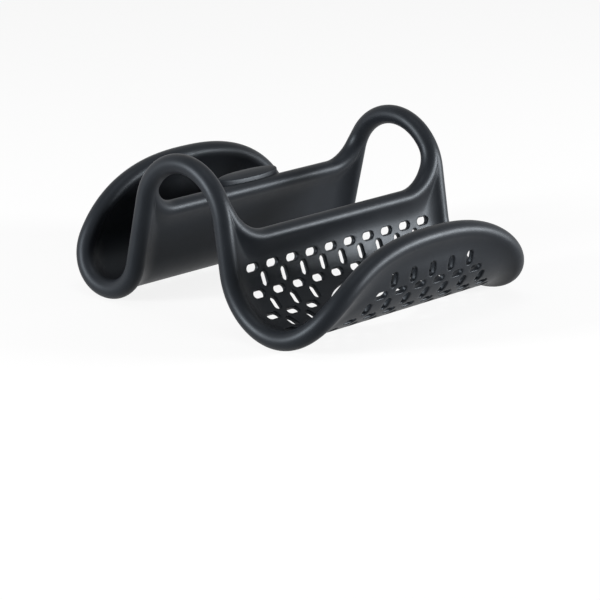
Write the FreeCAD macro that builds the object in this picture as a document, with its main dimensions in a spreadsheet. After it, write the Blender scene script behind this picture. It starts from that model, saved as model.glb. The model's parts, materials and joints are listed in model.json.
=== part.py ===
import FreeCAD, Part
import math
import os
from types import SimpleNamespace

import Sketcher

Vector = FreeCAD.Vector
ALONG_X = Vector(1, 0, 0)
ALONG_Y = Vector(0, 1, 0)
ALONG_Z = Vector(0, 0, 1)

# A saddle caddy for a double sink: two troughs joined by a hump that hangs over the divider.
# +Z is up, X runs across the wave, Y along its depth, and it stands on its two trough beads at Z = 0.
# Lengths are in millimetres and angles in degrees. A trough's run is measured over the curve of the sheet
# from the trough's lowest line, out towards its free wall, and back towards the saddle when negative.
SIZES = (
    ("caddy_depth", "118", "outside, front bead to rear bead"),
    ("caddy_height", "62.2", "floor to the top of the straps"),
    ("bead_diameter", "7.2", "round edge that frames every panel"),
    ("window_bead_diameter", "6.4", "round edge along the cut-out of the hump"),
    ("sheet_thickness", "2", "wall of the troughs"),
    ("saddle_radius", "20.6", "hump, at the middle of its beads"),
    ("strap_half_angle", "47", "crown of the hump to the flexing end of a strap"),
    ("strap_land", "2.2", "clear bead between a strap's end and a window corner"),
    ("sponge_trough_radius", "16.4", "narrow trough, at the middle of its sheet"),
    ("sponge_lean", "13.35", "narrow trough's leg from the vertical"),
    ("sponge_wall_rise", "22.4", "upright part of the narrow trough's free wall, to its bead"),
    ("sponge_window_drop", "7.2", "top of the narrow trough's straight leg down to its window bead"),
    ("sponge_window_corner", "14", "radius of the corners where that window bead joins the straps"),
    ("brush_trough_radius", "23.2", "wide trough, at the middle of its sheet"),
    ("brush_lean", "9.55", "wide trough's leg from the vertical"),
    ("brush_wall_rise", "8", "upright part of the wide trough's free wall, to its bead"),
    ("brush_window_drop", "8.9", "top of the wide trough's straight leg down to its window bead"),
    ("brush_window_corner", "18.5", "radius of the corners where that window bead joins the straps"),
    ("gusset_rise", "2.2", "sheet carried up past a window bead's middle, to fill the window's corners"),
    ("tongue_power", "2.4", "fullness of a free wall's rounded top: 2 is an ellipse"),
    ("slot_length", "6.4", "drain slot, end to end"),
    ("slot_width", "3.8", "drain slot, side to side"),
    ("slot_pitch", "10", "drain slots in a row, middle to middle"),
    ("slot_land", "1.4", "least sheet between a drain slot and the oval hole"),
    ("brush_hole_length", "38", "oval hole along the depth"),
    ("brush_hole_width", "25.4", "oval hole across the wave"),
    ("brush_hole_end_share", "0.75", "end radius of the oval hole over half its width"),
    ("pad_length", "32", "oval pad along the depth"),
    ("pad_width", "7.4", "oval pad across the wave"),
    ("pad_end_share", "0.5", "end radius of the oval pad over half its width"),
    ("pad_thickness", "2.4", "oval pad's edge"),
    ("pad_rise", "4.6", "middle of the window bead to the oval pad's top"),
    ("pad_offset", "2.5", "oval pad's middle, out from its window bead"),
    ("pad_round", "0.7", "rounding of the oval pad's edge"),
    ("overrun", "3", "how far a cutter runs past what it cuts"),
)
# The edge of a free wall is drawn in smooth spans: some round the trough's curve, some up its upright part.
TONGUE_CURVED_SPANS = 2
TONGUE_UPRIGHT_SPANS = 2
# Drain slots lie in rows half a pitch apart, alternately along the depth and along the run.
# Their round ends are drawn with flats, so that many small slots stay light.
SLOT_SIDES = 8
BRUSH_SLOT_ROWS = 14
BRUSH_TOP_ROW_SLOTS = 5
# The oval hole takes the place of some rows, counted from the saddle side.
ROWS_BEFORE_HOLE = 3
ROWS_IN_HOLE = 6

doc = FreeCAD.newDocument("saddle_caddy")
sheet = doc.addObject("Spreadsheet::Sheet", "sizes")
for row, (alias, value, words) in enumerate(SIZES, start=1):
    sheet.set(f"A{row}", words)
    sheet.set(f"B{row}", value)
    sheet.setAlias(f"B{row}", alias)
doc.recompute()


def size(alias):
    """Reads one driving size from the sheet."""
    return float(sheet.get(alias))


bead_radius = size("bead_diameter") / 2
half_depth = size("caddy_depth") / 2 - bead_radius
saddle_radius = size("saddle_radius")
saddle_z = size("caddy_height") - bead_radius - saddle_radius
HALF_DEPTH = "(sizes.caddy_depth - sizes.bead_diameter) / 2"
SADDLE_Z = "(sizes.caddy_height - sizes.bead_diameter / 2 - sizes.saddle_radius)"


def reach(name):
    """Saddle centre to trough centre, across, with a straight leg of the given lean touching both circles."""
    lean = math.radians(size(f"{name}_lean"))
    radius = size(f"{name}_trough_radius")
    rise = saddle_z - bead_radius - radius
    return (saddle_radius + radius + rise * math.sin(lean)) / math.cos(lean)


def reach_expression(name):
    """The same distance as an expression on the sheet."""
    lean = f"(sizes.{name}_lean * 1 deg)"
    rise = f"({SADDLE_Z} - sizes.bead_diameter / 2 - sizes.{name}_trough_radius)"
    return f"(sizes.saddle_radius + sizes.{name}_trough_radius + {rise} * sin{lean}) / cos{lean}"


# The saddle stands off the middle by half of what one side reaches out further than the other.
saddle_x = (reach("sponge") + size("sponge_trough_radius") - reach("brush") - size("brush_trough_radius")) / 2
SADDLE_X = (
    f"({reach_expression('sponge')} + sizes.sponge_trough_radius"
    f" - {reach_expression('brush')} - sizes.brush_trough_radius) / 2"
)


def lay_out(name, sign):
    """Works out where one side's trough, leg and free wall lie."""
    radius = size(f"{name}_trough_radius")
    lean = math.radians(size(f"{name}_lean"))
    centre_z = bead_radius + radius
    span = math.hypot(reach(name), saddle_z - centre_z)
    quarter = radius * math.pi / 2
    leg_bottom = -radius * (math.pi / 2 - lean)
    leg_top = leg_bottom - math.sqrt(span**2 - (saddle_radius + radius) ** 2)
    strap_end = leg_top - saddle_radius * (math.pi / 2 - lean - math.radians(size("strap_half_angle")))
    window = leg_top + size(f"{name}_window_drop")
    return SimpleNamespace(
        name=name,
        sign=sign,
        radius=radius,
        centre_x=saddle_x + sign * reach(name),
        centre_z=centre_z,
        lean=lean,
        quarter=quarter,
        leg_bottom=leg_bottom,
        leg_top=leg_top,
        wall_top=centre_z + size(f"{name}_wall_rise"),
        tongue_run=quarter + size(f"{name}_wall_rise"),
        strap_end=strap_end,
        window=window,
        window_corner=min(size(f"{name}_window_corner"), window - strap_end - size("strap_land")),
    )


sponge = lay_out("sponge", -1)
brush = lay_out("brush", 1)


def profile_point(side, run, depth):
    """Point of the sheet's middle at a run along the wave and a depth along Y."""
    if run > side.quarter:
        return Vector(side.centre_x + side.sign * side.radius, depth, side.centre_z + run - side.quarter)
    if run >= side.leg_bottom:
        turn = run / side.radius
        across = side.radius * math.sin(turn)
        return Vector(side.centre_x + side.sign * across, depth, side.centre_z - side.radius * math.cos(turn))
    if run >= side.leg_top:
        toe = profile_point(side, side.leg_bottom, depth)
        return toe + profile_heading(side, run) * (run - side.leg_bottom)
    turn = math.pi / 2 - side.lean + (run - side.leg_top) / saddle_radius
    across = saddle_radius * math.sin(turn)
    return Vector(saddle_x + side.sign * across, depth, saddle_z + saddle_radius * math.cos(turn))


def profile_heading(side, run):
    """Direction in which the run grows there."""
    if run > side.quarter:
        turn = math.pi / 2
    elif run >= side.leg_bottom:
        turn = run / side.radius
    elif run >= side.leg_top:
        turn = side.lean - math.pi / 2
    else:
        turn = side.lean - math.pi / 2 - (run - side.leg_top) / saddle_radius
    return Vector(side.sign * math.cos(turn), 0, math.sin(turn))


def profile_edge(side, start, end, depth):
    """Line or arc of the wave between two runs that share one radius."""
    first = profile_point(side, start, depth)
    last = profile_point(side, end, depth)
    if (profile_heading(side, start) - profile_heading(side, end)).Length < Part.Precision.confusion():
        return Part.LineSegment(first, last).toShape()
    return Part.Arc(first, profile_point(side, (start + end) / 2, depth), last).toShape()


def half_arc(start, corner, end):
    """Arc that leaves start towards a corner point and arrives at end from it, both as far away."""
    weight = (end - start).Length / (2 * (corner - start).Length)
    middle = (start + corner * (2 * weight) + end) / (2 + 2 * weight)
    return Part.Arc(start, middle, end).toShape()


def smooth_edges(points, headings):
    """Pairs of tangent arcs through points, with a given heading at each."""
    edges = []
    for start, end, leave, arrive in zip(points, points[1:], headings, headings[1:]):
        chord = end - start
        both = leave + arrive
        slack = 2 * (1 - leave.dot(arrive))
        ahead = chord.dot(both)
        arm = (math.sqrt(ahead**2 + slack * chord.dot(chord)) - ahead) / slack
        first_corner = start + leave * arm
        last_corner = end - arrive * arm
        middle = (first_corner + last_corner) / 2
        edges.append(half_arc(start, first_corner, middle))
        edges.append(half_arc(middle, last_corner, end))
    return edges


def both_halves(edges):
    """Front edges joined to their mirror images at the rear."""
    mirrored = [edge.mirror(Vector(), ALONG_Y) for edge in reversed(edges)]
    return Part.Wire(edges + mirrored)


def tongue_line(side):
    """Runs, depths and rates of both along the rounded edge of a free wall, front half."""
    power = size("tongue_power")
    upright = math.asin((side.quarter / side.tongue_run) ** (power / 2))
    turns = [upright * step / TONGUE_CURVED_SPANS for step in range(TONGUE_CURVED_SPANS)]
    for step in range(TONGUE_UPRIGHT_SPANS):
        turns.append(upright + (math.pi / 2 - upright) * step / TONGUE_UPRIGHT_SPANS)
    shares = [(math.sin(turn) ** (2 / power), math.cos(turn) ** (2 / power)) for turn in turns] + [(1, 0)]
    stations = []
    for run_share, depth_share in shares:
        run_rate = depth_share ** (power - 1) / half_depth
        depth_rate = run_share ** (power - 1) / side.tongue_run
        stations.append((side.tongue_run * run_share, -half_depth * depth_share, run_rate, depth_rate))
    return stations


def rim_path(side):
    """Middle of the bead from the front strap, round the trough and its free wall, to the rear strap."""
    front = [
        profile_edge(side, side.strap_end, side.leg_top, -half_depth),
        profile_edge(side, side.leg_top, side.leg_bottom, -half_depth),
        profile_edge(side, side.leg_bottom, 0, -half_depth),
    ]
    stations = tongue_line(side)
    points = [profile_point(side, run, depth) for run, depth, _, _ in stations]
    headings = []
    for run, _, run_rate, depth_rate in stations:
        heading = profile_heading(side, run) * run_rate + ALONG_Y * depth_rate
        headings.append(heading.normalize())
    return both_halves(front + smooth_edges(points, headings))


def window_path(side):
    """Middle of the window bead, from the front strap down, across the leg and up to the rear strap."""
    corner = side.window_corner
    points = []
    headings = []
    for turn in (0, math.pi / 2):
        run = side.window - corner * (1 - math.sin(turn))
        points.append(profile_point(side, run, corner * (1 - math.cos(turn)) - half_depth))
        headings.append(profile_heading(side, run) * math.cos(turn) + ALONG_Y * math.sin(turn))
    level = Part.LineSegment(points[-1], Vector(points[-1].x, 0, points[-1].z)).toShape()
    return both_halves(smooth_edges(points, headings) + [level])


def swept_bead(name, path, heading, diameter_alias):
    """Round bead along a path that starts with the given heading."""
    spine = doc.addObject("Part::Feature", f"{name}_path")
    spine.Shape = path
    section = doc.addObject("Part::Circle", f"{name}_section")
    section.setExpression("Radius", f"sizes.{diameter_alias} / 2")
    section.Placement = FreeCAD.Placement(path.OrderedVertexes[0].Point, FreeCAD.Rotation(ALONG_Z, heading))
    bead = doc.addObject("Part::Sweep", name)
    bead.Sections = [section]
    bead.Spine = (spine, [])
    bead.Solid = True
    return bead


def rim(side):
    """Bead round a trough, with the window bead that ties its two straps together."""
    edge_heading = profile_heading(side, side.strap_end)
    edge = swept_bead(f"{side.name}_edge_bead", rim_path(side), edge_heading, "bead_diameter")
    window_heading = profile_heading(side, side.window - side.window_corner)
    window = swept_bead(f"{side.name}_window_bead", window_path(side), window_heading, "window_bead_diameter")
    joined = doc.addObject("Part::Fuse", f"{side.name}_rim")
    joined.Base = edge
    joined.Tool = window
    return joined


def strap(name, depth_expression):
    """Round strap over the crown of the hump."""
    arch = doc.addObject("Part::Torus", name)
    arch.setExpression("Radius1", "sizes.saddle_radius")
    arch.setExpression("Radius2", "sizes.bead_diameter / 2")
    arch.setExpression("Angle3", "2 * sizes.strap_half_angle")
    brush_end = FreeCAD.Rotation(ALONG_Z, 90 - size("strap_half_angle"))
    arch.Placement.Rotation = FreeCAD.Rotation(ALONG_X, 90) * brush_end
    arch.setExpression("Placement.Base.x", SADDLE_X)
    arch.setExpression("Placement.Base.y", depth_expression)
    arch.setExpression("Placement.Base.z", SADDLE_Z)
    return arch


def panel_blank(side):
    """Sheet bent to the trough and its leg, full depth and with a square free wall."""
    body = doc.addObject("PartDesign::Body", f"{side.name}_blank")
    plane = next(plane for plane in body.Origin.OriginFeatures if plane.Role == "XZ_Plane")
    sketch = body.newObject("Sketcher::SketchObject", f"{side.name}_profile")
    sketch.AttachmentSupport = (plane, "")
    sketch.MapMode = "FlatFace"
    trough_centre = Vector(side.centre_x, side.centre_z, 0)
    saddle_centre = Vector(saddle_x, saddle_z, 0)
    sheet_top = profile_point(side, side.window, 0).z + size("gusset_rise")

    def side_of_sheet(offset):
        """One face of the sheet: leg line, trough arc, wall line, and the saddle circle its leg touches."""
        radius = side.radius + offset
        leg_turn = side.lean - math.pi / 2
        toe = trough_centre + Vector(side.sign * radius * math.sin(leg_turn), -radius * math.cos(leg_turn), 0)
        heel = trough_centre + Vector(side.sign * radius, 0, 0)
        climb = (sheet_top - toe.y) * math.tan(side.lean)
        leg = sketch.addGeometry(Part.LineSegment(Vector(toe.x - side.sign * climb, sheet_top, 0), toe))
        bend = Part.ArcOfCircle(
            Part.Circle(trough_centre, ALONG_Z, radius),
            *((math.pi + side.lean, 2 * math.pi) if side.sign > 0 else (math.pi, 2 * math.pi - side.lean)),
        )
        trough = sketch.addGeometry(bend)
        brow = Vector(heel.x, side.wall_top + size("sheet_thickness"), 0)
        wall = sketch.addGeometry(Part.LineSegment(heel, brow))
        hump = sketch.addGeometry(Part.Circle(saddle_centre, ALONG_Z, saddle_radius - offset), True)
        toe_end, heel_end = (1, 2) if side.sign > 0 else (2, 1)
        sketch.addConstraint(Sketcher.Constraint("Tangent", leg, 2, trough, toe_end))
        sketch.addConstraint(Sketcher.Constraint("Tangent", trough, heel_end, wall, 1))
        sketch.addConstraint(Sketcher.Constraint("Vertical", wall))
        sketch.addConstraint(Sketcher.Constraint("Tangent", leg, hump))
        return leg, trough, wall, hump

    def place(kind, part, end, expression):
        """Distance of a point from the sketch's origin, driven by the sheet."""
        point = sketch.getPoint(part, end)
        value = point.x if kind == "DistanceX" else point.y
        index = sketch.addConstraint(Sketcher.Constraint(kind, -1, 1, part, end, value))
        sketch.setExpression(f"Constraints[{index}]", expression)

    def round_off(part, expression):
        """Radius driven by the sheet."""
        index = sketch.addConstraint(Sketcher.Constraint("Radius", part, sketch.Geometry[part].Radius))
        sketch.setExpression(f"Constraints[{index}]", expression)

    outer = side_of_sheet(size("sheet_thickness") / 2)
    inner = side_of_sheet(-size("sheet_thickness") / 2)
    for part, end in ((0, 1), (2, 2)):
        ends = (sketch.getPoint(outer[part], end), sketch.getPoint(inner[part], end))
        cap = sketch.addGeometry(Part.LineSegment(*ends))
        sketch.addConstraint(Sketcher.Constraint("Coincident", cap, 1, outer[part], end))
        sketch.addConstraint(Sketcher.Constraint("Coincident", cap, 2, inner[part], end))
        sketch.addConstraint(Sketcher.Constraint("Horizontal", cap))
    sketch.addConstraint(Sketcher.Constraint("Coincident", outer[1], 3, inner[1], 3))
    sketch.addConstraint(Sketcher.Constraint("Coincident", outer[3], 3, inner[3], 3))
    trough = f"sizes.{side.name}_trough_radius"
    lean = f"(sizes.{side.name}_lean * 1 deg)"
    direction = "+" if side.sign > 0 else "-"
    trough_x = f"{SADDLE_X} {direction} {reach_expression(side.name)}"
    trough_z = f"sizes.bead_diameter / 2 + {trough}"
    leg_top_z = f"{SADDLE_Z} + sizes.saddle_radius * sin{lean}"
    place("DistanceX", outer[1], 3, trough_x)
    place("DistanceY", outer[1], 3, trough_z)
    place("DistanceX", outer[3], 3, SADDLE_X)
    place("DistanceY", outer[3], 3, SADDLE_Z)
    round_off(outer[1], f"{trough} + sizes.sheet_thickness / 2")
    round_off(inner[1], f"{trough} - sizes.sheet_thickness / 2")
    round_off(outer[3], "sizes.saddle_radius - sizes.sheet_thickness / 2")
    round_off(inner[3], "sizes.saddle_radius + sizes.sheet_thickness / 2")
    window_z = f"{leg_top_z} - sizes.{side.name}_window_drop * cos{lean}"
    place("DistanceY", outer[0], 1, f"{window_z} + sizes.gusset_rise")
    place("DistanceY", outer[2], 2, f"{trough_z} + sizes.{side.name}_wall_rise + sizes.sheet_thickness")
    bend = body.newObject("PartDesign::Pad", f"{side.name}_bend")
    bend.Profile = sketch
    bend.SideType = "Symmetric"
    bend.setExpression("Length", f"2 * {HALF_DEPTH} + 2 * sizes.sheet_thickness")
    return body


def tongue_trim(side):
    """All that lies outside the rounded edge of a free wall, to be cut from its square blank."""
    overrun = size("overrun")
    foot = Vector(side.centre_x, -half_depth, -overrun)
    points = []
    headings = []
    for run, depth, run_rate, depth_rate in tongue_line(side):
        points.append(Vector(side.centre_x, depth, profile_point(side, run, depth).z))
        heading = ALONG_Z * (profile_heading(side, run).z * run_rate) + ALONG_Y * depth_rate
        headings.append(heading.normalize() if heading.Length > 0 else ALONG_Z)
    edge = both_halves([Part.LineSegment(foot, points[0]).toShape()] + smooth_edges(points, headings))
    low = Vector(side.centre_x, -half_depth - bead_radius - overrun, -overrun)
    high = Vector(side.centre_x, low.y, side.wall_top + bead_radius + overrun)
    frame = [Part.LineSegment(foot, low).toShape(), Part.LineSegment(low, high).toShape()]
    frame.append(Part.LineSegment(high, Vector(high.x, 0, high.z)).toShape())
    outline = Part.Wire(Part.sortEdges(edge.Edges + both_halves(frame).Edges)[0])
    trim = doc.addObject("Part::Feature", f"{side.name}_tongue_trim")
    trim.Shape = Part.Face(outline).extrude(ALONG_X * (side.sign * (side.radius + bead_radius + overrun)))
    return trim


def facing(side, run):
    """Rotation that lays local X along the depth, local Y along the run and local Z across the sheet."""
    heading = profile_heading(side, run)
    return FreeCAD.Rotation(ALONG_Y, heading, ALONG_Y.cross(heading), "ZXY")


def slot_cutters(side, rows):
    """Drain slots through a trough: rows are (run, number of slots, whether they lie along the depth)."""
    rounding = size("slot_width") / 2
    straight = size("slot_length") / 2 - rounding
    deep = size("sheet_thickness") / 2 + size("overrun")
    corners = []
    for corner in range(SLOT_SIDES):
        turn = 2 * math.pi * (corner + 0.5) / SLOT_SIDES
        reach = Vector(math.cos(turn), math.sin(turn), 0) * (rounding / math.cos(math.pi / SLOT_SIDES))
        corners.append(reach + ALONG_X * math.copysign(straight, reach.x) - ALONG_Z * deep)
    slot = Part.Face(Part.makePolygon(corners + corners[:1])).extrude(ALONG_Z * (2 * deep))
    crossways = FreeCAD.Rotation(ALONG_Z, 90)
    cutters = []
    for run, count, along_depth in rows:
        turned = facing(side, run) if along_depth else facing(side, run) * crossways
        for number in range(count):
            depth = (number - (count - 1) / 2) * size("slot_pitch")
            if side is brush and slot_meets_hole(run, depth, along_depth):
                continue
            cutter = slot.copy()
            cutter.Placement = FreeCAD.Placement(profile_point(side, run, depth), turned)
            cutters.append(cutter)
    slots = doc.addObject("Part::Feature", f"{side.name}_slots")
    slots.Shape = Part.makeCompound(cutters)
    return slots


def brush_row_run(row):
    """Run of a row of drain slots, counted from the saddle side; the rows straddle the trough's bottom."""
    return (row - (BRUSH_SLOT_ROWS + 1) / 2) * size("slot_pitch") / 2


hole_run = brush_row_run(ROWS_BEFORE_HOLE + (ROWS_IN_HOLE + 1) / 2)


def slot_meets_hole(run, depth, along_depth):
    """Whether a drain slot would come too close to the oval hole."""
    half_long = size("slot_length") / 2 + size("slot_land")
    half_short = size("slot_width") / 2 + size("slot_land")
    over_depth, over_run = (half_long, half_short) if along_depth else (half_short, half_long)
    hole_half_run = brush.radius * math.asin(size("brush_hole_width") / 2 / brush.radius)
    depth_share = depth / (size("brush_hole_length") / 2 + over_depth)
    run_share = (run - hole_run) / (hole_half_run + over_run)
    return math.hypot(depth_share, run_share) < 1


def extruded_oval(name, placement, length, width, end_share, height_expression):
    """Oval prism along its placement's Z, long axis on its X: two end arcs and two flatter side arcs."""
    half_length = length / 2
    half_width = width / 2
    end_radius = half_width * end_share
    end_centre = half_length - end_radius
    side_radius = (end_centre**2 + half_width**2 - end_radius**2) / (2 * (half_width - end_radius))
    lean = math.atan2(end_centre, side_radius - half_width)
    joint = Vector(end_centre + end_radius * math.sin(lean), end_radius * math.cos(lean), 0)
    joints = [Vector(x * joint.x, y * joint.y, 0) for x, y in ((1, -1), (1, 1), (-1, 1), (-1, -1))]
    tips = [Vector(x * half_length, y * half_width, 0) for x, y in ((1, 0), (0, 1), (-1, 0), (0, -1))]
    arcs = [Part.Arc(joints[k], tips[k], joints[(k + 1) % 4]).toShape() for k in range(4)]
    outline = doc.addObject("Part::Feature", f"{name}_outline")
    outline.Shape = Part.Wire(arcs)
    outline.Placement = placement
    prism = doc.addObject("Part::Extrusion", name)
    prism.Base = outline
    prism.DirMode = "Custom"
    prism.Dir = placement.Rotation.multVec(ALONG_Z)
    prism.setExpression("LengthFwd", height_expression)
    prism.Solid = True
    return prism


def cut(name, base, tool):
    """One shape less another."""
    result = doc.addObject("Part::Cut", name)
    result.Base = base
    result.Tool = tool
    return result


def panel(side, side_rim, rows, hole=None):
    """Thin trough inside its bead, perforated."""
    trimmed = cut(f"{side.name}_trimmed", panel_blank(side), tongue_trim(side))
    drained = cut(f"{side.name}_drained", trimmed, slot_cutters(side, rows))
    if hole is not None:
        drained = cut(f"{side.name}_opened", drained, hole)
    return cut(f"{side.name}_pocket", drained, side_rim)


def grip_pad(side, side_rim):
    """Bare oval pad with a soft edge, seated astride the window bead."""
    window = profile_point(side, side.window, 0)
    top = window.z + size("pad_rise")
    underside = top - size("pad_thickness")
    middle = Vector(window.x + side.sign * size("pad_offset"), 0, underside)
    plate = extruded_oval(
        "pad_plate",
        FreeCAD.Placement(middle, FreeCAD.Rotation(ALONG_Z, 90)),
        size("pad_length"),
        size("pad_width"),
        size("pad_end_share"),
        "sizes.pad_thickness",
    )
    doc.recompute()
    soft = doc.addObject("Part::Fillet", "pad_soft")
    soft.Base = plate
    rounding = size("pad_round")
    level_edges = [
        number for number, edge in enumerate(plate.Shape.Edges, start=1) if edge.BoundBox.ZLength < rounding
    ]
    soft.Edges = [(number, rounding, rounding) for number in level_edges]
    return cut("grip_pad", soft, side_rim)


front_strap = strap("front_strap", f"-{HALF_DEPTH}")
rear_strap = strap("rear_strap", HALF_DEPTH)
sponge_rim = rim(sponge)
brush_rim = rim(brush)
doc.recompute()

full_row = int(2 * half_depth // size("slot_pitch")) - 1
sponge_pocket = panel(sponge, sponge_rim, [(0, full_row, True)])

brush_rows = []
for row in range(1, BRUSH_SLOT_ROWS + 1):
    along_depth = row % 2 == 1
    most = full_row if along_depth else full_row - 1
    count = min(most, BRUSH_TOP_ROW_SLOTS + BRUSH_SLOT_ROWS - row)
    brush_rows.append((brush_row_run(row), count, along_depth))
brush_centre = Vector(brush.centre_x, 0, brush.centre_z)
brush_hole = extruded_oval(
    "brush_hole",
    FreeCAD.Placement(brush_centre, facing(brush, hole_run)),
    size("brush_hole_length"),
    size("brush_hole_width"),
    size("brush_hole_end_share"),
    "sizes.brush_trough_radius + sizes.bead_diameter",
)
brush_pocket = panel(brush, brush_rim, brush_rows, brush_hole)
pad = grip_pad(sponge, sponge_rim)
doc.recompute()

SUB_PARTS = (front_strap, rear_strap, sponge_rim, sponge_pocket, pad, brush_rim, brush_pocket)
for item in doc.Objects:
    if "Invalid" in item.State or "Error" in item.State:
        raise RuntimeError(f"{item.Name} did not recompute: {item.State}")
for item in SUB_PARTS:
    if item.Shape.isNull() or not item.Shape.isValid():
        raise RuntimeError(f"{item.Label} has no valid shape")
    if len(item.Shape.Solids) != 1:
        raise RuntimeError(f"{item.Label} is {len(item.Shape.Solids)} solids")

os.makedirs("parts", exist_ok=True)
for item in SUB_PARTS:
    item.Shape.exportStep(os.path.join("parts", f"{item.Label}.step"))
    print(f"{item.Label}: {item.Shape.Volume:.1f} mm3")
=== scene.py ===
import json
import math

import bmesh
import bpy
from mathutils import Matrix, Vector
from mathutils.kdtree import KDTree


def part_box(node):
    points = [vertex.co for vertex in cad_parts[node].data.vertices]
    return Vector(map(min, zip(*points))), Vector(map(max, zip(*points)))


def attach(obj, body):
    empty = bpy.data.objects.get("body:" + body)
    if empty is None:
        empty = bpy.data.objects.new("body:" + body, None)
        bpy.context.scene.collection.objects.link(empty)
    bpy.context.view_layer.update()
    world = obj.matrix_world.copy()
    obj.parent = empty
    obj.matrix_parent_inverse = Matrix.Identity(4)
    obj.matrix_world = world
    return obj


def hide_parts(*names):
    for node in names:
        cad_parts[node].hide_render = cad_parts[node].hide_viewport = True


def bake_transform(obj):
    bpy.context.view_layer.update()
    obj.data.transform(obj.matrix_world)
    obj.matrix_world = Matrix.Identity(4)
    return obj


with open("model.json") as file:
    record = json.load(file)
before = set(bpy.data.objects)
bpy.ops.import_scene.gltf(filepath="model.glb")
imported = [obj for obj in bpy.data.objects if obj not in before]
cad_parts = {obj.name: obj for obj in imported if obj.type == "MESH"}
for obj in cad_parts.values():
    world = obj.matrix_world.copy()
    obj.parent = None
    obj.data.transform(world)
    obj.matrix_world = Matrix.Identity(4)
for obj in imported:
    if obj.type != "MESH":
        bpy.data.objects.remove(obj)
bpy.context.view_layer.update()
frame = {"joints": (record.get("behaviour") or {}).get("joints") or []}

# Sizes are in millimetres and become metres where a piece is bent to the wave.
MM = 0.001
BEAD_RADIUS = 3.6
WINDOW_BEAD_RADIUS = 3.2
SHEET_HALF_THICKNESS = 1.0
# Fullness of a free wall's rounded top: 2 is an ellipse, and more is fuller.
TONGUE_POWER = 2.4
# Fillet that runs from a bead into the sheet, and how far the sheet's end sinks below the bead's skin.
FILLET_RADIUS = 14.0
SEAT_DIP = 0.5
# Where two fillets meet, the taller one leads: a higher power makes the change between them sharper.
FILLET_MERGE_POWER = 6
# A strap's piece runs on this far past its hinge line into the leg, where the leg's bead takes over.
STRAP_BEND_REACH = 6.0

# Drain slots in both troughs, and the oval hole in the wide one, with the rounding of their mouths.
SLOT_LENGTH = 6.4
SLOT_WIDTH = 3.8
SLOT_PITCH = 10.0
SLOT_LAND = 1.4
SLOT_ROUND_STEPS = 16
BRUSH_SLOT_ROWS = 14
BRUSH_TOP_ROW_SLOTS = 5
FULL_ROW_SLOTS = 10
HOLE_RUN = -5.0
HOLE_LENGTH = 38.0
HOLE_WIDTH = 25.4
HOLE_STEPS = 96
HOLE_POWER = 2.15
MOUTH_ROUND = 0.45
MOUTH_ROUND_STEPS = 3
CUT_OVERRUN = 1.5

# Oval pad: its sizes at the foot, and where the middle of its top lies from the window bead's middle.
PAD_LENGTH = 32.0
PAD_WIDTH = 8.2
PAD_THICKNESS = 3.0
PAD_RISE = 5.6
PAD_OFFSET = 2.5
PAD_TILT = math.radians(14)
PAD_POWER = 2.2
PAD_ROUND = 0.6
PAD_CROWN = 0.4
# How far the pad's side leans in, all round, from its foot to its top.
PAD_FLARE = 1.1
PAD_STEPS = 72
PAD_ROUND_STEPS = 5
PAD_TOP_STEPS = 4

# How finely the pieces are drawn.
TUBE_SIDES = 40
STATION_STEP = 1.0
TONGUE_STEPS = 160
CORNER_STEPS = 24
SHEET_COLUMNS = 112
LEG_ROWS = 48
TONGUE_ROWS = 56
# The sheet's rows stop just short of the tip of a free wall, inside its bead.
LAST_ROW_SHARE = 0.985
OUTLINE_STEP = 0.2
# Corners nearer than this are merged, and edges that turn by less than this angle are shaded smooth.
MERGE_BELOW = 1e-6
SMOOTH_BELOW = math.radians(35)

hinges = {joint["child"]: Vector(joint["pos_m"]) / MM for joint in frame["joints"]}
strap_low, strap_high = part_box("rear_strap")
half_depth = (strap_low.y + strap_high.y) / 2 / MM
saddle_x = (hinges["sponge_side"].x + hinges["brush_side"].x) / 2
# A strap flexes about the outer edge of its end; its drop over its half width gives the angle from the crown.
strap_half_width = hinges["brush_side"].x - saddle_x
strap_drop = strap_high.z / MM - hinges["brush_side"].z
strap_half_angle = 2 * math.atan2(strap_drop, strap_half_width)
saddle_outer_radius = strap_half_width / math.sin(strap_half_angle)
saddle_radius = saddle_outer_radius - BEAD_RADIUS
saddle_z = strap_high.z / MM - saddle_outer_radius


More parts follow.
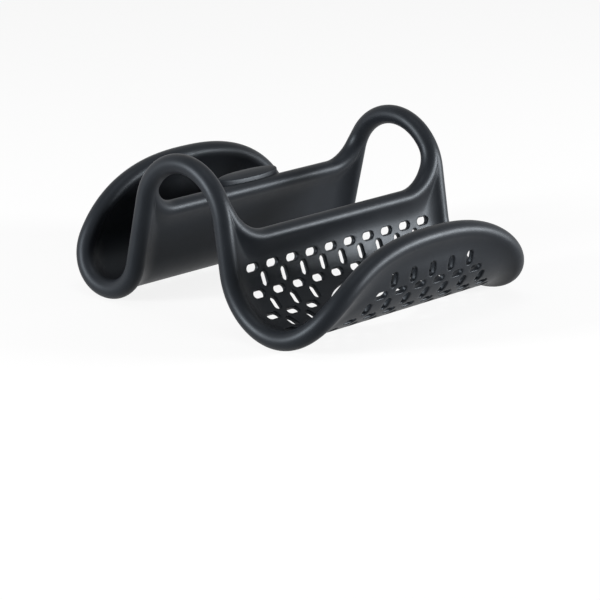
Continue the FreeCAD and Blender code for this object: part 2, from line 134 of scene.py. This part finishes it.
class Side:
    """One half of the wave: its leg down from the saddle, its trough and its free wall.

    A run is measured over the curve of the sheet from the trough's lowest line, out towards the free wall,
    and back towards the saddle when negative.
    """

    def __init__(self, name, sign, radius, lean, wall_rise, window_drop, window_corner):
        self.name = name
        self.body = f"{name}_side"
        self.sign = sign
        self.radius = radius
        self.lean = math.radians(lean)
        self.centre_z = BEAD_RADIUS + radius
        rise = saddle_z - self.centre_z
        reach = (saddle_radius + radius + rise * math.sin(self.lean)) / math.cos(self.lean)
        self.centre_x = saddle_x + sign * reach
        self.quarter = radius * math.pi / 2
        self.leg_bottom = -radius * (math.pi / 2 - self.lean)
        leg = math.sqrt(reach**2 + rise**2 - (saddle_radius + radius) ** 2)
        self.leg_top = self.leg_bottom - leg
        self.strap_end = self.leg_top - saddle_radius * (math.pi / 2 - self.lean - strap_half_angle)
        self.crown = self.leg_top - saddle_radius * (math.pi / 2 - self.lean)
        self.bead_start = self.strap_end + STRAP_BEND_REACH
        self.window = self.leg_top + window_drop
        self.window_corner = window_corner
        self.tongue_run = self.quarter + wall_rise

    def slope(self, run):
        """Angle at which the sheet climbs there as the run grows."""
        if run > self.quarter:
            return math.pi / 2
        if run >= self.leg_bottom:
            return run / self.radius
        if run >= self.leg_top:
            return self.lean - math.pi / 2
        return self.lean - math.pi / 2 - (run - self.leg_top) / saddle_radius

    def heading(self, run):
        """Direction in which the run grows there."""
        turn = self.slope(run)
        return Vector((self.sign * math.cos(turn), 0, math.sin(turn)))

    def normal(self, run):
        """Direction out of the sheet, towards the inside of the trough."""
        turn = self.slope(run)
        return Vector((-self.sign * math.sin(turn), 0, math.cos(turn)))

    def middle(self, run):
        """Middle of the sheet at a run, without its depth."""
        if run > self.quarter:
            return Vector((self.centre_x + self.sign * self.radius, 0, self.centre_z + run - self.quarter))
        if run >= self.leg_bottom:
            return Vector((self.centre_x, 0, self.centre_z)) - self.normal(run) * self.radius
        if run >= self.leg_top:
            return self.middle(self.leg_bottom) + self.heading(run) * (run - self.leg_bottom)
        return Vector((saddle_x, 0, saddle_z)) + self.normal(run) * saddle_radius

    def bend(self, run, depth, lift=0.0):
        """Place of a flat point, in metres, once the sheet is bent to the wave."""
        place = self.middle(run) + self.normal(run) * lift
        place.y = depth
        return place * MM


sponge = Side("sponge", -1, radius=16.4, lean=13.35, wall_rise=22.4, window_drop=7.2, window_corner=14)
brush = Side("brush", 1, radius=23.2, lean=9.55, wall_rise=8, window_drop=8.9, window_corner=18.5)


def steps_between(start, end, step):
    """Even values from start to end, about a step apart."""
    count = math.ceil(abs(end - start) / step)
    return [start + (end - start) * number / count for number in range(count + 1)]


def tongue_place(side, turn):
    """Run and depth on a free wall's rounded edge, and the rates of both, as the turn goes from 0 to pi."""
    run_share = math.sin(turn) ** (2 / TONGUE_POWER)
    depth_share = abs(math.cos(turn)) ** (2 / TONGUE_POWER)
    ahead = math.copysign(1, math.cos(turn))
    run_rate = ahead * depth_share ** (TONGUE_POWER - 1) / half_depth
    depth_rate = run_share ** (TONGUE_POWER - 1) / side.tongue_run
    return side.tongue_run * run_share, -ahead * half_depth * depth_share, run_rate, depth_rate


def edge_line(side, top):
    """Flat stations of a side's bead, front top to rear top: run, depth and the rates of both."""
    down = [(run, -half_depth, 1, 0) for run in steps_between(top, 0, STATION_STEP)]
    up = [(run, half_depth, -1, 0) for run in steps_between(0, top, STATION_STEP)]
    tongue = [tongue_place(side, math.pi * step / TONGUE_STEPS) for step in range(1, TONGUE_STEPS)]
    return down + tongue + up


def window_line(side):
    """Flat stations of a side's window bead, front strap to rear strap."""
    corner = side.window_corner
    corner_depth = half_depth - corner
    front = []
    for step in range(CORNER_STEPS + 1):
        turn = math.pi / 2 * step / CORNER_STEPS
        run = side.window - corner * (1 - math.sin(turn))
        depth = corner_depth + corner * math.cos(turn)
        front.append((run, -depth, math.cos(turn), math.sin(turn)))
    rear = [(run, -depth, -run_rate, depth_rate) for run, depth, run_rate, depth_rate in reversed(front)]
    level = steps_between(-corner_depth, corner_depth, STATION_STEP)[1:-1]
    return front + [(side.window, depth, 0, 1) for depth in level] + rear


def strap_line(side, depth):
    """Flat stations of half a strap, from the crown to where the leg's bead takes over."""
    return [(run, depth, 1, 0) for run in steps_between(side.crown, side.bead_start, STATION_STEP)]


def new_piece(name, mesh_edit):
    """Object made of an edited mesh, smooth but for its real edges."""
    bmesh.ops.remove_doubles(mesh_edit, verts=mesh_edit.verts, dist=MERGE_BELOW)
    bmesh.ops.recalc_face_normals(mesh_edit, faces=mesh_edit.faces)
    mesh = bpy.data.meshes.new(name)
    mesh_edit.to_mesh(mesh)
    mesh_edit.free()
    mesh.shade_smooth()
    mesh.set_sharp_from_angle(angle=SMOOTH_BELOW)
    piece = bpy.data.objects.new(name, mesh)
    bpy.context.scene.collection.objects.link(piece)
    return piece


def grow(mesh_edit, edges):
    """Extrudes a loop of edges and gives the new loop's edges and vertices."""
    grown = bmesh.ops.extrude_edge_only(mesh_edit, edges=edges)["geom"]
    new_edges = [item for item in grown if isinstance(item, bmesh.types.BMEdge)]
    new_verts = [item for item in grown if isinstance(item, bmesh.types.BMVert)]
    return [edge for edge in new_edges if all(vert in new_verts for vert in edge.verts)], new_verts


def tube(name, side, stations, radius_at):
    """Round bead along flat stations, bent to the wave; radius_at(depth) is its radius."""
    frames = []
    for run, depth, run_rate, depth_rate in stations:
        ahead = (side.heading(run) * run_rate + Vector((0, depth_rate, 0))).normalized()
        lift = side.normal(run)
        turned = Matrix((lift, ahead.cross(lift), ahead)).transposed().to_4x4()
        frames.append(Matrix.Translation(side.bend(run, depth)) @ turned @ Matrix.Scale(radius_at(depth), 4))
    mesh_edit = bmesh.new()
    bmesh.ops.create_circle(mesh_edit, radius=MM, segments=TUBE_SIDES, matrix=frames[0])
    edges = list(mesh_edit.edges)
    for before, after in zip(frames, frames[1:]):
        edges, ring = grow(mesh_edit, edges)
        bmesh.ops.transform(mesh_edit, matrix=after @ before.inverted(), verts=ring)
    bmesh.ops.holes_fill(mesh_edit, edges=mesh_edit.edges)
    return new_piece(name, mesh_edit)


def full_bead(_depth):
    """Radius of an edge bead or a strap, the same all along."""
    return BEAD_RADIUS


def window_bead_radius(side):
    """Radius of a window bead by depth: it leaves the strap at full size and slims round its corner."""

    def radius_at(depth):
        round_corner = min(1.0, (half_depth - abs(depth)) / side.window_corner)
        return BEAD_RADIUS + (WINDOW_BEAD_RADIUS - BEAD_RADIUS) * round_corner

    return radius_at


def line_finder(stations):
    """Search tree over a flat line, for distances to it."""
    places = []
    for (run, depth, _, _), (next_run, next_depth, _, _) in zip(stations, stations[1:]):
        start = Vector((run, depth, 0))
        end = Vector((next_run, next_depth, 0))
        count = max(1, math.ceil((end - start).length / OUTLINE_STEP))
        places += [start.lerp(end, number / count) for number in range(count)]
    tree = KDTree(len(places))
    for number, place in enumerate(places):
        tree.insert(place, number)
    tree.balance()
    return tree


def fillet_height(distance, bead_radius):
    """How far the sheet rises near a bead's middle line, and how far it then dips under the skin."""
    foot = SHEET_HALF_THICKNESS + FILLET_RADIUS
    reach = math.sqrt((bead_radius + FILLET_RADIUS) ** 2 - foot**2)
    touch = reach * bead_radius / (bead_radius + FILLET_RADIUS)
    if distance >= reach:
        return 0.0, 0.0
    if distance >= touch:
        return FILLET_RADIUS - math.sqrt(FILLET_RADIUS**2 - (reach - distance) ** 2), 0.0
    dip = SEAT_DIP * (1 - distance / touch) ** 2
    return math.sqrt(bead_radius**2 - distance**2) - SHEET_HALF_THICKNESS, dip


def raised_face(beads, place):
    """Height of the sheet's face over its plain face, where the fillets of several beads run together."""
    merged = 0.0
    dip = 0.0
    for finder, radius_at in beads:
        nearest, _, distance = finder.find(place)
        bead_height, bead_dip = fillet_height(distance, radius_at(nearest.y))
        merged += bead_height**FILLET_MERGE_POWER
        dip = max(dip, bead_dip)
    return merged ** (1 / FILLET_MERGE_POWER) - dip


def sheet_outline_run(side, depth):
    """Run of the sheet's upper end at a depth: along the window bead and up round its corners."""
    corner = side.window_corner
    into_corner = max(0.0, abs(depth) - (half_depth - corner))
    return side.window - corner + math.sqrt(max(0.0, corner**2 - into_corner**2))


def flat_sheet(side):
    """Trough and leg laid flat, thickened into the beads round it: X is the run, Y the depth, Z the lift."""
    mesh_edit = bmesh.new()
    rows = LEG_ROWS + TONGUE_ROWS
    bmesh.ops.create_grid(mesh_edit, x_segments=rows, y_segments=SHEET_COLUMNS, size=1)
    for vert in mesh_edit.verts:
        row = (vert.co.x + 1) / 2 * rows
        depth = half_depth * math.sin(vert.co.y * math.pi / 2)
        if row < LEG_ROWS:
            run = sheet_outline_run(side, depth) * math.cos(row / LEG_ROWS * math.pi / 2)
        else:
            turn = (row - LEG_ROWS) / TONGUE_ROWS * LAST_ROW_SHARE * math.pi / 2
            run, edge_depth, _, _ = tongue_place(side, turn)
            depth *= -edge_depth / half_depth
        vert.co = (run, depth, 0)
    edge = (line_finder(edge_line(side, side.strap_end)), full_bead)
    window = (line_finder(window_line(side)), window_bead_radius(side))
    upper = list(mesh_edit.verts)
    grown = bmesh.ops.extrude_face_region(mesh_edit, geom=mesh_edit.faces[:])["geom"]
    lower = [item for item in grown if isinstance(item, bmesh.types.BMVert)]
    for verts, face in ((upper, 1), (lower, -1)):
        for vert in verts:
            vert.co.z = face * (SHEET_HALF_THICKNESS + raised_face((edge, window), vert.co))
    bmesh.ops.recalc_face_normals(mesh_edit, faces=mesh_edit.faces)
    return mesh_edit


def softened_cutter(mesh_edit, steps, place):
    """Closed cutter that leaves rounded mouths in a flat sheet; place(turn, inset) is its outline."""
    levels = [(-SHEET_HALF_THICKNESS - CUT_OVERRUN, 0)]
    for step in range(MOUTH_ROUND_STEPS + 1):
        turn = math.pi / 2 * step / MOUTH_ROUND_STEPS
        below = MOUTH_ROUND * (1 - math.cos(turn))
        levels.append((below - SHEET_HALF_THICKNESS, MOUTH_ROUND * math.sin(turn)))
    levels += [(-lift, inset) for lift, inset in reversed(levels)]
    half_step = Matrix.Rotation(math.pi / steps, 4, "Z")
    ring = bmesh.ops.create_circle(mesh_edit, segments=steps, radius=1, matrix=half_step)["verts"]
    turns = [math.atan2(vert.co.y, vert.co.x) for vert in ring]
    edges = list({edge for vert in ring for edge in vert.link_edges})
    every_edge = list(edges)
    for number, (lift, inset) in enumerate(levels):
        if number > 0:
            edges, ring = grow(mesh_edit, edges)
            every_edge += edges
        for vert, turn in zip(ring, turns):
            run, depth = place(turn, inset)
            vert.co = (run, depth, lift)
    bmesh.ops.holes_fill(mesh_edit, edges=every_edge)


def slot_rows(side):
    """Rows of drain slots: run, number of slots and whether they lie along the depth."""
    if side is sponge:
        return [(0.0, FULL_ROW_SLOTS, True)]
    rows = []
    for row in range(1, BRUSH_SLOT_ROWS + 1):
        along_depth = row % 2 == 1
        most = FULL_ROW_SLOTS if along_depth else FULL_ROW_SLOTS - 1
        run = (row - (BRUSH_SLOT_ROWS + 1) / 2) * SLOT_PITCH / 2
        rows.append((run, min(most, BRUSH_TOP_ROW_SLOTS + BRUSH_SLOT_ROWS - row), along_depth))
    return rows


def over_curve(across):
    """Run over the wide trough's curve that spans a straight width."""
    return brush.radius * math.asin(across / brush.radius)


def slot_meets_hole(run, depth, along_depth):
    """Whether a drain slot would come too close to the oval hole."""
    half_long = SLOT_LENGTH / 2 + SLOT_LAND
    half_short = SLOT_WIDTH / 2 + SLOT_LAND
    over_depth, over_run = (half_long, half_short) if along_depth else (half_short, half_long)
    depth_share = depth / (HOLE_LENGTH / 2 + over_depth)
    run_share = (run - HOLE_RUN) / (over_curve(HOLE_WIDTH / 2) + over_run)
    return math.hypot(depth_share, run_share) < 1


def drain_slot(mesh_edit, middle_run, middle_depth, along_depth):
    """One round-ended slot."""
    straight = (SLOT_LENGTH - SLOT_WIDTH) / 2
    flats_to_corners = 1 / math.cos(math.pi / SLOT_ROUND_STEPS)

    def place(turn, inset):
        radius = (SLOT_WIDTH / 2 - inset) * flats_to_corners
        along = radius * math.cos(turn)
        along += math.copysign(straight, along)
        across = radius * math.sin(turn)
        run, depth = (across, along) if along_depth else (along, across)
        return middle_run + run, middle_depth + depth

    softened_cutter(mesh_edit, SLOT_ROUND_STEPS, place)


def oval(turn, length, width, power):
    """Point of an oval, long way first; a power above 2 makes it fuller than an ellipse."""
    along = math.copysign(abs(math.cos(turn)) ** (2 / power), math.cos(turn)) * length / 2
    across = math.copysign(abs(math.sin(turn)) ** (2 / power), math.sin(turn)) * width / 2
    return along, across


def brush_hole(mesh_edit):
    """Oval hole in the bottom of the wide trough."""

    def place(turn, inset):
        depth, across = oval(turn, HOLE_LENGTH - 2 * inset, HOLE_WIDTH - 2 * inset, HOLE_POWER)
        return HOLE_RUN + over_curve(across), depth

    softened_cutter(mesh_edit, HOLE_STEPS, place)


def trough(name, side):
    """Perforated sheet of a side, cut while flat and then bent to the wave."""
    cutters = bmesh.new()
    for run, count, along_depth in slot_rows(side):
        for number in range(count):
            depth = (number - (count - 1) / 2) * SLOT_PITCH
            if side is sponge or not slot_meets_hole(run, depth, along_depth):
                drain_slot(cutters, run, depth, along_depth)
    if side is brush:
        brush_hole(cutters)
    blank = new_piece(f"{name}_blank", flat_sheet(side))
    cutter = new_piece(f"{name}_cutter", cutters)
    drain = blank.modifiers.new("drain", "BOOLEAN")
    drain.operation = "DIFFERENCE"
    drain.solver = "EXACT"
    drain.object = cutter
    drained = bpy.data.meshes.new_from_object(blank.evaluated_get(bpy.context.evaluated_depsgraph_get()))
    mesh_edit = bmesh.new()
    mesh_edit.from_mesh(drained)
    for vert in mesh_edit.verts:
        vert.co = side.bend(*vert.co)
    for spent in (blank.data, cutter.data, drained):
        bpy.data.meshes.remove(spent)
    return new_piece(name, mesh_edit)


def grip_pad(side):
    """Bare oval pad with a flared side and a faint crown, tilted a little astride the window bead."""
    bead = side.bend(side.window, 0) / MM
    seat = Vector((bead.x + side.sign * PAD_OFFSET, 0, bead.z + PAD_RISE)) * MM
    tilted = Matrix.Translation(seat) @ Matrix.Rotation(-side.sign * PAD_TILT, 4, "Y") @ Matrix.Scale(MM, 4)
    rings = []
    for middle, start in ((PAD_ROUND - PAD_THICKNESS, -math.pi / 2), (-PAD_ROUND, 0)):
        for step in range(PAD_ROUND_STEPS + 1):
            turn = start + math.pi / 2 * step / PAD_ROUND_STEPS
            height = middle + PAD_ROUND * math.sin(turn)
            inset = PAD_ROUND * (1 - math.cos(turn)) + PAD_FLARE * (1 + height / PAD_THICKNESS)
            rings.append((PAD_LENGTH - 2 * inset, PAD_WIDTH - 2 * inset, height))
    rim_length, rim_width, _ = rings[-1]
    for step in range(1, PAD_TOP_STEPS):
        share = 1 - step / PAD_TOP_STEPS
        rings.append((rim_length * share, rim_width * share, PAD_CROWN * (1 - share**2)))
    mesh_edit = bmesh.new()
    ring = bmesh.ops.create_circle(mesh_edit, segments=PAD_STEPS, radius=1)["verts"]
    turns = [math.atan2(vert.co.y, vert.co.x) for vert in ring]
    edges = list(mesh_edit.edges)
    for number, (length, width, height) in enumerate(rings):
        if number > 0:
            edges, ring = grow(mesh_edit, edges)
        for vert, turn in zip(ring, turns):
            depth, run = oval(turn, length, width, PAD_POWER)
            vert.co = tilted @ Vector((run, depth, height))
    bmesh.ops.holes_fill(mesh_edit, edges=mesh_edit.edges)
    return new_piece("grip_pad_oval", mesh_edit)


class Sockets:
    """One node tree, written as expressions: a wrapped socket takes part in sums and products."""

    class Value:
        """A socket whose arithmetic adds Math nodes."""

        def __init__(self, tree, socket):
            self.tree = tree
            self.socket = socket

        def math(self, operation, other):
            """Adds one Math node on this socket and another value."""
            return self.tree.node("ShaderNodeMath", {"operation": operation}, {0: self, 1: other})

        def __add__(self, other):
            return self.math("ADD", other)

        def __mul__(self, other):
            return self.math("MULTIPLY", other)

        __radd__ = __add__
        __rmul__ = __mul__

    def __init__(self, tree):
        self.tree = tree

    def node(self, kind, settings=None, inputs=None, output=0):
        """Adds a node: its settings first, then values or links by socket; gives one wrapped output."""
        made = self.tree.nodes.new(kind)
        for name, value in (settings or {}).items():
            if name == "stops":
                for stop, (position, colour) in zip(made.color_ramp.elements, value):
                    stop.position = position
                    stop.color = colour
            else:
                setattr(made, name, value)
        for name, value in (inputs or {}).items():
            if isinstance(value, Sockets.Value):
                self.tree.links.new(value.socket, made.inputs[name])
            else:
                made.inputs[name].default_value = value
        return Sockets.Value(self, made.outputs[output]) if made.outputs else made


def fresh_material(name):
    """Empty node material and its expression writer."""
    material = bpy.data.materials.new(name)
    material.use_nodes = True
    material.node_tree.nodes.clear()
    return material, Sockets(material.node_tree)


# Patterns in the moulding's finish, from broad to fine: waves to the metre, and how finely they break up.
MOTTLE = {"Scale": 55.0, "Detail": 4.0}
HANDLING = {"Scale": 260.0, "Detail": 3.0}
GRAIN = {"Scale": 3600.0, "Detail": 2.0}
PITS = {"Scale": 1900.0}
# Charcoal from its dark patches to its pale ones, by the strength of the mottle and grain.
CHARCOAL_SHADES = [(0.35, (0.0045, 0.0054, 0.0070, 1)), (0.70, (0.0072, 0.0084, 0.0106, 1))]
GRAIN_COLOUR_SHARE = 0.2
LEAST_ROUGHNESS = 0.34
HANDLING_ROUGHNESS = 0.10
MOTTLE_ROUGHNESS = 0.06
GRAIN_ROUGHNESS = 0.05
PIT_RELIEF_SHARE = 0.3
RELIEF = {"Strength": 0.25, "Distance": 0.08 * MM}
# Weak, slightly cool gloss, the same all over.
SATIN_GLOSS = {"IOR": 1.46, "Specular IOR Level": 0.165, "Specular Tint": (0.80, 0.90, 1.0, 1)}


def satin_moulding():
    """Charcoal rubbery plastic: satin, faintly mottled, with the fine grain of a blasted mould."""
    material, nodes = fresh_material("satin_moulding")
    place = nodes.node("ShaderNodeTexCoord", output="Object")
    mottle = nodes.node("ShaderNodeTexNoise", inputs={"Vector": place, **MOTTLE})
    handling = nodes.node("ShaderNodeTexNoise", inputs={"Vector": place, **HANDLING})
    grain = nodes.node("ShaderNodeTexNoise", inputs={"Vector": place, **GRAIN})
    pits = nodes.node("ShaderNodeTexVoronoi", inputs={"Vector": place, **PITS})
    shade = mottle * (1 - GRAIN_COLOUR_SHARE) + grain * GRAIN_COLOUR_SHARE
    colour = nodes.node("ShaderNodeValToRGB", {"stops": CHARCOAL_SHADES}, {"Fac": shade})
    roughness = LEAST_ROUGHNESS + handling * HANDLING_ROUGHNESS
    roughness += mottle * MOTTLE_ROUGHNESS + grain * GRAIN_ROUGHNESS
    relief = grain * (1 - PIT_RELIEF_SHARE) + pits * PIT_RELIEF_SHARE
    bump = nodes.node("ShaderNodeBump", inputs={"Height": relief, **RELIEF})
    finish = {"Base Color": colour, "Roughness": roughness, "Normal": bump, **SATIN_GLOSS}
    surface = nodes.node("ShaderNodeBsdfPrincipled", inputs=finish)
    nodes.node("ShaderNodeOutputMaterial", inputs={"Surface": surface})
    return material


WHITE = (1, 1, 1, 1)
# The floor's size is in metres. What isn't white of it is a pale grey that takes the shadow.
FLOOR_SIZE = 40.0
FLOOR_GREY = (0.86, 0.86, 0.86, 1)
FLOOR_WHITE_SHARE = 0.86
# Strength of the surroundings as light on the object; where they are seen they are white.
SURROUNDING_LIGHT = 0.18


def background_white(nodes):
    """1 where the eye, a reflection or a view through glass meets the backdrop, 0 for light on the object."""
    camera = nodes.node("ShaderNodeLightPath", output="Is Camera Ray")
    glossy = nodes.node("ShaderNodeLightPath", output="Is Glossy Ray")
    through = nodes.node("ShaderNodeLightPath", output="Is Transmission Ray")
    return camera + glossy + through


def pale_floor_material():
    """White floor that keeps a soft shadow."""
    material, nodes = fresh_material("pale_floor")
    lit = nodes.node("ShaderNodeBsdfDiffuse", inputs={"Color": FLOOR_GREY})
    glow = nodes.node("ShaderNodeEmission", inputs={"Color": WHITE, "Strength": 1.0})
    seen = background_white(nodes) * FLOOR_WHITE_SHARE
    surface = nodes.node("ShaderNodeMixShader", inputs={0: seen, 1: lit, 2: glow})
    nodes.node("ShaderNodeOutputMaterial", inputs={"Surface": surface})
    return material


def lay_floor():
    """Wide plain floor under the object."""
    mesh_edit = bmesh.new()
    bmesh.ops.create_grid(mesh_edit, x_segments=1, y_segments=1, size=FLOOR_SIZE / 2)
    floor = new_piece("floor", mesh_edit)
    floor.data.materials.append(pale_floor_material())


def studio_world():
    """Soft white surroundings."""
    world = bpy.data.worlds.new("studio")
    world.use_nodes = True
    world.node_tree.nodes.clear()
    nodes = Sockets(world.node_tree)
    strength = SURROUNDING_LIGHT + background_white(nodes) * (1 - SURROUNDING_LIGHT)
    sky = nodes.node("ShaderNodeBackground", inputs={"Color": WHITE, "Strength": strength})
    nodes.node("ShaderNodeOutputWorld", inputs={"Surface": sky})
    bpy.context.scene.world = world


# Lamps by name: place, width and height in metres, and power in watts. All point at one place.
LAMPS = {
    "overhead": ((0.10, -0.10, 0.95), 0.50, 0.50, 2.0),
    "right_window": ((0.70, 0.60, 0.16), 0.30, 0.24, 21.0),
    "left_window": ((-0.38, -0.92, 0.22), 0.24, 0.28, 20.0),
}
LAMP_AIM = (-0.002, 0, 0.03)
# Camera at the photograph's viewing angle: places in metres, lens and sensor in millimetres.
EYE = (0.67097, -0.67988, 0.28817)
LOOK_AT = (-0.0018007, 0, -0.0030825)
LENS_LENGTH = 159.603
SENSOR_WIDTH = 36.0


def put_aimed(name, device, place, target):
    """Adds a lamp or a camera that looks from a place at a target."""
    holder = bpy.data.objects.new(name, device)
    holder.location = place
    holder.rotation_euler = (Vector(target) - Vector(place)).to_track_quat("-Z", "Y").to_euler()
    bpy.context.scene.collection.objects.link(holder)
    return holder


def softbox(name, place, width, height, power):
    """Rectangular area lamp aimed at the object."""
    lamp = bpy.data.lights.new(name, "AREA")
    lamp.shape = "RECTANGLE"
    lamp.size = width
    lamp.size_y = height
    lamp.energy = power
    put_aimed(name, lamp, place, LAMP_AIM)


def dress(piece, *nodes):
    """Gives a piece the moulding's finish and lets it stand for its CAD nodes."""
    piece.data.materials.clear()
    piece.data.materials.append(moulding)
    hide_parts(*nodes)
    return piece


moulding = satin_moulding()

for side in (sponge, brush):
    bead = tube(f"{side.name}_edge_bead", side, edge_line(side, side.bead_start), full_bead)
    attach(dress(bead, f"{side.name}_rim"), side.body)
    window_bead = tube(f"{side.name}_window_bead", side, window_line(side), window_bead_radius(side))
    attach(dress(window_bead, f"{side.name}_rim"), side.body)
    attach(dress(trough(f"{side.name}_trough", side), f"{side.name}_pocket"), side.body)
    for node, depth in (("front_strap", -half_depth), ("rear_strap", half_depth)):
        half = dress(tube(f"{node}_{side.name}_half", side, strap_line(side, depth), full_bead), node)
        hinge = side.bend(side.strap_end, depth)
        reach = side.heading(side.strap_end) * (STRAP_BEND_REACH * MM)
        hinge - reach
        hinge + reach
        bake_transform(half)
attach(dress(grip_pad(sponge), "grip_pad"), sponge.body)

lay_floor()
studio_world()
for name, (place, width, height, power) in LAMPS.items():
    softbox(name, place, width, height, power)

lens = bpy.data.cameras.new("camera")
lens.lens = LENS_LENGTH
lens.sensor_width = SENSOR_WIDTH
bpy.context.scene.camera = put_aimed("camera", lens, EYE, LOOK_AT)
bpy.context.scene.view_settings.view_transform = "Standard"
